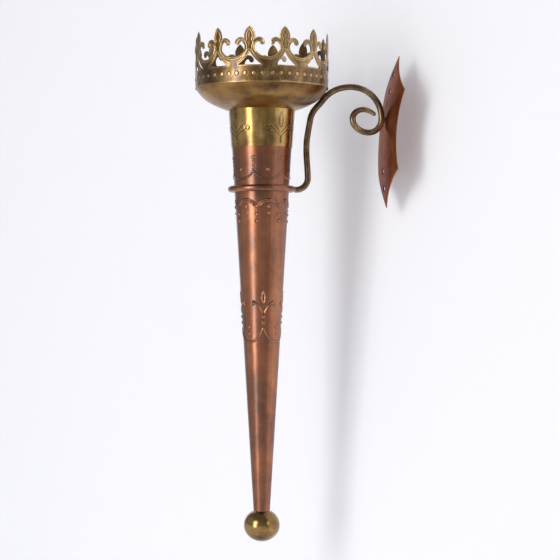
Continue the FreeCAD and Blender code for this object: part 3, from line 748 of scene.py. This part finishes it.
def ridgeCurve(sheet, distance, points):
    reach = points[-1][0]
    value = sheet.add("ShaderNodeFloatCurve", {"Value": sheet.math("DIVIDE", distance, reach)})
    curve = sheet.node.mapping.curves[0]
    while len(curve.points) < len(points):
        curve.points.new(0.5, 0.5)
    for spot, (x, y) in zip(curve.points, sorted(points)):
        spot.location = (x / reach, y)
    sheet.node.mapping.update()
    return value


def reliefTree():
    # raises ridges that run along the outline of a flat sheet, in front of it, and notes their wear and painted
    # shade: ridges paler, as rubbed wear and painted highlight, grooves darker, as tarnish and painted shade
    size = crownSizes
    sheet, given = newTree("outlineRelief", {"Outline": "Object", "Relief": "Float", "Fleur Foot": "Float"})
    rim = sheet.add("GeometryNodeObjectInfo", {"Object": given["Outline"]}, out="Geometry")
    here = sheet.add("GeometryNodeInputPosition")
    height = sheet.add("ShaderNodeSeparateXYZ", {0: here}, out="Z")
    reach = sheet.add("GeometryNodeProximity", {"Target": rim, "Source Position": here}, out="Distance",
                      target_element="EDGES")
    plain, fancy = (ridgeCurve(sheet, reach, size[kind]) for kind in ("plainRidge", "fleurRidge"))
    blendTop = sheet.math("ADD", given["Fleur Foot"], size["ridgeBlend"])
    share = sheet.ranged(height, given["Fleur Foot"], blendTop, 0.0, 1.0)
    level = sheet.add("ShaderNodeMix", {"Factor": share, "A": plain, "B": fancy})
    front = sheet.math("SUBTRACT", 1.0, named(sheet, "behind"))
    wear = sheet.math("MULTIPLY", sheet.math("SUBTRACT", level, size["plainLevel"]), size["wearAndShadeGain"])
    # the sheet's back is darkened as painted shade
    wear = sheet.math("SUBTRACT", sheet.math("MULTIPLY", wear, front),
                      sheet.math("MULTIPLY", named(sheet, "behind"), size["backShade"]))
    shape = sheet.add("GeometryNodeStoreNamedAttribute", {
        "Geometry": given["Geometry"], "Name": "wear", "Value": wear}, data_type="FLOAT")
    lift = sheet.math("MULTIPLY", sheet.math("MULTIPLY", level, given["Relief"]), front)
    out = sheet.add("ShaderNodeCombineXYZ", {"Y": sheet.math("MULTIPLY", lift, -1.0)})
    shape = sheet.add("GeometryNodeSetPosition", {"Geometry": shape, "Offset": out})
    return endTree(sheet, shape)


def ringTree():
    # rolls a flat piece to the ring's radius and sets copies of it round the ring
    sheet, given = newTree("ringOfPieces", {"Radius": "Float", "Copies": "Int", "First Angle": "Float",
                                            "Lift": "Float", "Widest": "Float", "Material": "Material"})
    here = sheet.add("GeometryNodeInputPosition")
    across = sheet.add("ShaderNodeSeparateXYZ", {0: here})
    depth, height = sheet.node.outputs["Y"], sheet.node.outputs["Z"]
    angle = sheet.math("MULTIPLY", sheet.math("DIVIDE", across, given["Widest"]), math.pi)
    angle = sheet.math("DIVIDE", angle, given["Copies"])
    radius = sheet.math("SUBTRACT", given["Radius"], depth)
    spot = sheet.add("ShaderNodeCombineXYZ", {
        "X": sheet.math("MULTIPLY", radius, sheet.math("COSINE", angle)),
        "Y": sheet.math("MULTIPLY", radius, sheet.math("SINE", angle)),
        "Z": sheet.math("ADD", height, given["Lift"])})
    rolled = sheet.add("GeometryNodeSetPosition", {"Geometry": given["Geometry"], "Position": spot})
    copies = turnedCopies(sheet, given, rolled)
    copies = sheet.add("GeometryNodeMergeByDistance", {"Geometry": copies, "Distance": crownSizes["weldGap"]})
    return endTree(sheet, copies, given["Material"])


outlineRelief = reliefTree()
ringOfPieces = ringTree()


def makeCrown():
    size = crownSizes
    loops, half = crownLoops()

    def joined(a, b):
        # both points on the same side line, where the next fleur begins
        near = 0.01
        return abs(abs(a[0]) - half) < near and abs(abs(b[0]) - half) < near and abs(a[0] - b[0]) < near

    mesh = sheetMesh("fleurSheet", loops, size["fine"], size["coarse"], size["wall"], joined)
    outlines = [[a, b] for loop in loops for a, b in zip(loop, loop[1:] + loop[:1]) if not joined(a, b)]
    outline = motifObject("crownOutline", outlines, [], lambda x, z: (x, 0.0, z))
    pitch = half * 0.5
    beads = [(x * pitch, size["beadHeight"], size["beadRadius"]) for x in (-1.5, -0.5, 0.5, 1.5)]
    # the emboss tree needs a line, so one stands well below the crown, where it touches nothing
    farLine = [(-half, -9.0), (half, -9.0)]
    rise = motifObject("crownBeads", [farLine], beads, lambda x, z: (x, size["beadInside"], z))
    crown = bake("reliefCrown", mesh, [
        (outlineRelief, {"Outline": outline, "Relief": size["relief"] * size["reliefShare"],
                         "Fleur Foot": size["windowFoot"]}),
        (embossedMotif, {"Motif": rise, "Copies": 1, "First Angle": 0.0, "Line Width": 1.0, "Line Rise": 0.0,
                         "Bead Rise": size["beadRise"]}),
        (ringOfPieces, {"Radius": size["radius"], "Copies": size["copies"], "Widest": half,
                        "First Angle": math.radians(size["firstAngle"]), "Lift": size["foot"],
                        "Material": finishes["brass_crown"]})], torchMatrix())
    for motif in (outline, rise):
        bpy.data.objects.remove(motif)
    seatPiece(crown, "torch", "crown_gallery")


makeCrown()

# wall plate: a sheet bowed both ways, with worn edges and stained holes, darker round the rivet and on the back
# the pairs below give how much and over what distance from the edge, hole or rivet
plateSizes = {"tip": 97.0, "corner": (43.5, 50.0), "waist": 37.6, "hollow": 2.5, "sheet": 1.4, "bow": 11.2,
              "crossBow": 6.1, "holes": (73.0, 51.0, -51.0, -73.0), "holeRadius": 2.6, "rivetHeight": 13.0,
              "rivetRadius": 2.05, "holeSides": 24, "outlineStep": 1.6, "fine": 1.9, "coarse": 6.0,
              "edgeSink": (0.35, 1.9), "holeSink": (0.5, 2.0), "dent": 0.16, "dentPitch": 0.055,
              "dentEdge": 4.0, "seatRadius": 5.0, "seatBlend": 8.0, "edgeWear": (0.55, 2.4),
              "holeStain": (0.9, 3.2), "rivetDarkening": (0.5, 15.0), "backDarkening": -0.3}


def plateFront(x, z):
    size = plateSizes
    along = size["bow"] * (1 - (z / size["tip"]) ** 2)
    return size["sheet"] + along - size["crossBow"] * (x / size["corner"][0]) ** 2


def plateLoops():
    (side, high), tip, waist = plateSizes["corner"], plateSizes["tip"], plateSizes["waist"]
    inward = Vector((tip - high, side)).normalized() * plateSizes["hollow"]
    hollow = (side * 0.5 - inward.x, (tip + high) * 0.5 - inward.y)
    arcs = [((side, high), hollow, (0, tip)), ((0, tip), (-hollow[0], hollow[1]), (-side, high)),
            ((-side, high), (-waist, 0), (-side, -high)), ((-side, -high), (-hollow[0], -hollow[1]), (0, -tip)),
            ((0, -tip), (hollow[0], -hollow[1]), (side, -high)), ((side, -high), (waist, 0), (side, high))]
    loops = [[point for arc in arcs for point in arcThrough(*arc, plateSizes["outlineStep"])]]
    spots = [(z, plateSizes["holeRadius"]) for z in plateSizes["holes"]]
    sides = plateSizes["holeSides"]
    turns = [i * math.tau / sides for i in range(sides)]
    for z, radius in spots + [(plateSizes["rivetHeight"], plateSizes["rivetRadius"])]:
        loops.append([(radius * math.cos(t), z + radius * math.sin(t)) for t in turns])
    return loops


def fading(amount, distance, power=1):
    # full at distance 0 and nothing from the pair's second number on
    most, width = amount
    return most * max(0.0, 1 - distance / width) ** power


def makePlate():
    size, loops = plateSizes, plateLoops()
    mesh = sheetMesh("wallPlate", loops, size["fine"], size["coarse"], size["sheet"])
    flat = numpy.array([(v.co.x, v.co.z) for v in mesh.vertices])
    rim, holes = edgeDistance(loops[:1], flat), edgeDistance(loops[1:], flat)
    fromRivet = numpy.hypot(flat[:, 0], flat[:, 1] - size["rivetHeight"])
    wear = mesh.attributes.new("wear", "FLOAT", "POINT")
    for i, vertex in enumerate(mesh.vertices):
        x, z = flat[i]
        if vertex.co.y > 0:
            vertex.co.y = -(plateFront(x, z) - size["sheet"])
            # the back face is darker
            wear.data[i].value = size["backDarkening"]
            continue
        sink = fading(size["edgeSink"], rim[i], 2) + fading(size["holeSink"], holes[i], 2)
        seat = min(1.0, max(0.0, (fromRivet[i] - size["seatRadius"]) / size["seatBlend"]))
        pitch, inner = size["dentPitch"], min(1.0, rim[i] / size["dentEdge"]) * seat
        dent = noise.noise(Vector((x * pitch, 3.7, z * pitch))) * size["dent"] * inner
        vertex.co.y = -(plateFront(x, z) - sink - abs(dent))
        wear.data[i].value = (fading(size["edgeWear"], rim[i]) - fading(size["holeStain"], holes[i])
                              - fading(size["rivetDarkening"], fromRivet[i]))
    mesh.transform(Matrix.Scale(mm, 4))
    mesh.polygons.foreach_set("use_smooth", [True] * len(mesh.polygons))
    mesh.set_sharp_from_angle(angle=sharpAngle)
    mesh.materials.append(finishes["copper_plate"])
    plate = linkPiece("dishedPlate", mesh)
    seatPiece(plate, "bracket", "wall_plate")
    return plate


plate = makePlate()
print("plate made:", len(plate.data.vertices), "points")


# bent rod: ring and arm
rodSizes = {"radius": 4.0, "sides": 28, "step": 1.6, "ringRadius": 38.53, "ringHeight": 401.4,
            "ringPoints": 144, "taperLength": 30.0, "taperEnd": 0.66, "taperPower": 0.8,
            "bluntLength": 2.0, "bluntEnd": 0.35, "unevenness": 0.018, "ringWaves": 3, "waveStart": 0.6,
            "hammerPitch": 0.09}
# knots of the arm's middle line: y, z and heading in degrees, from the ring to the scroll's end
armKnots = ((-119.612, -85.577, 5.0), (-106.427, -68.764, 97.0), (-111.393, -32.659, 95.0),
            (-109.649, 3.631, 85.0), (-103.848, 18.761, 53.2), (-93.854, 32.44, 55.0), (-55.526, 51.04, 0.0),
            (-17.199, 13.0, -90.0), (-34.499, -4.2, -180.0), (-54.799, 11.9, -270.0), (-40.899, 24.2, -360.0),
            (-25.599, 18.5, -40.0))
armStart = (-122.0, -85.786)


def rodTree():
    # a round rod along the points' line; thick holds its thickness at each point
    sheet, given = newTree("bentRod", {"Radius": "Float", "Sides": "Int", "Material": "Material"})
    path = sheet.add("GeometryNodeMeshToCurve", {"Mesh": given["Geometry"]})
    ringShape = sheet.add("GeometryNodeCurvePrimitiveCircle", {"Resolution": given["Sides"],
                                                               "Radius": given["Radius"]})
    tube = sheet.add("GeometryNodeCurveToMesh", {"Curve": path, "Profile Curve": ringShape,
                                                 "Scale": named(sheet, "thick"), "Fill Caps": True})
    tube = sheet.add("GeometryNodeMergeByDistance", {"Geometry": tube, "Distance": weldGap})
    return endTree(sheet, tube, given["Material"])


def arcRun(start, heading, end, step):
    # points of the arc that leaves start along heading and comes to end
    chord = end - start
    half = numpy.angle(chord / heading)
    length = abs(chord) * (half / math.sin(half) if abs(half) > 1e-6 else 1.0)
    count = max(2, round(length / step))
    if abs(half) < 1e-6:
        return [start + chord * i / count for i in range(count + 1)]
    return [start + heading * numpy.exp(1j * half * i / count) * abs(chord)
            * math.sin(half * i / count) / math.sin(half) for i in range(count + 1)]


def armLine():
    run = [complex(*armStart)]
    for (ay, az, ah), (by, bz, bh) in zip(armKnots, armKnots[1:]):
        p, q = complex(ay, az), complex(by, bz)
        t, u = numpy.exp(1j * math.radians(ah)), numpy.exp(1j * math.radians(bh))
        chord = q - p
        along = (chord * (t + u).conjugate()).real
        spread = 2 * (1 - (t * u.conjugate()).real)
        handle = (math.sqrt(along * along + spread * abs(chord) ** 2) - along) / spread
        middle = (p + q + (t - u) * handle) * 0.5
        run += arcRun(p, t, middle, rodSizes["step"])[:-1]
        run += arcRun(q, -u, middle, rodSizes["step"])[:0:-1]
    return run + [complex(*armKnots[-1][:2])]


def rodPiece(name, points, thick, closed, slotName, node, spot):
    mesh = bpy.data.meshes.new(name)
    edges = [(i, i + 1) for i in range(len(points) - 1)] + ([(len(points) - 1, 0)] if closed else [])
    mesh.from_pydata(points, edges, [])
    mesh.attributes.new("thick", "FLOAT", "POINT").data.foreach_set("value", thick)
    piece = bake(name, mesh, [(bentRod, {"Radius": rodSizes["radius"], "Sides": rodSizes["sides"],
                                         "Material": finishes[slotName]})], spot)
    seatPiece(piece, "bracket", node)


def makeArmAndRing():
    size = rodSizes
    angles = [i * math.tau / size["ringPoints"] for i in range(size["ringPoints"])]
    across, up = size["ringRadius"], size["ringHeight"]
    circle = [(across * math.cos(t), across * math.sin(t), up) for t in angles]
    waves = [math.sin(size["ringWaves"] * t + size["waveStart"]) for t in angles]
    even = [1.0 - size["unevenness"] * (0.5 + 0.5 * wave) for wave in waves]
    rodPiece("bentRing", circle, even, True, "copper_rod", "support_ring", torchMatrix())
    run = armLine()
    far = [0.0]
    for a, b in zip(run, run[1:]):
        far.append(far[-1] + abs(b - a))
    thick = []
    for reach in far:
        left = (far[-1] - reach) / size["taperLength"]
        taper = 1.0 if left >= 1 else size["taperEnd"] + (1 - size["taperEnd"]) * left ** size["taperPower"]
        blunt = math.sqrt(max(0.0, 1 - max(0.0, 1 - (far[-1] - reach) / size["bluntLength"]) ** 2))
        bumps = noise.noise(Vector((reach * size["hammerPitch"], 1.3, 0.0)))
        hammered = 1 - size["unevenness"] * (1 + bumps)
        thick.append(taper * hammered * max(size["bluntEnd"], blunt))
    points = [(0.0, p.real, p.imag) for p in run]
    rodPiece("scrolledArm", points, thick, False, "brass_rod", "scroll_arm", Matrix.Scale(mm, 4))


bentRod = rodTree()
makeArmAndRing()
print("rods made")
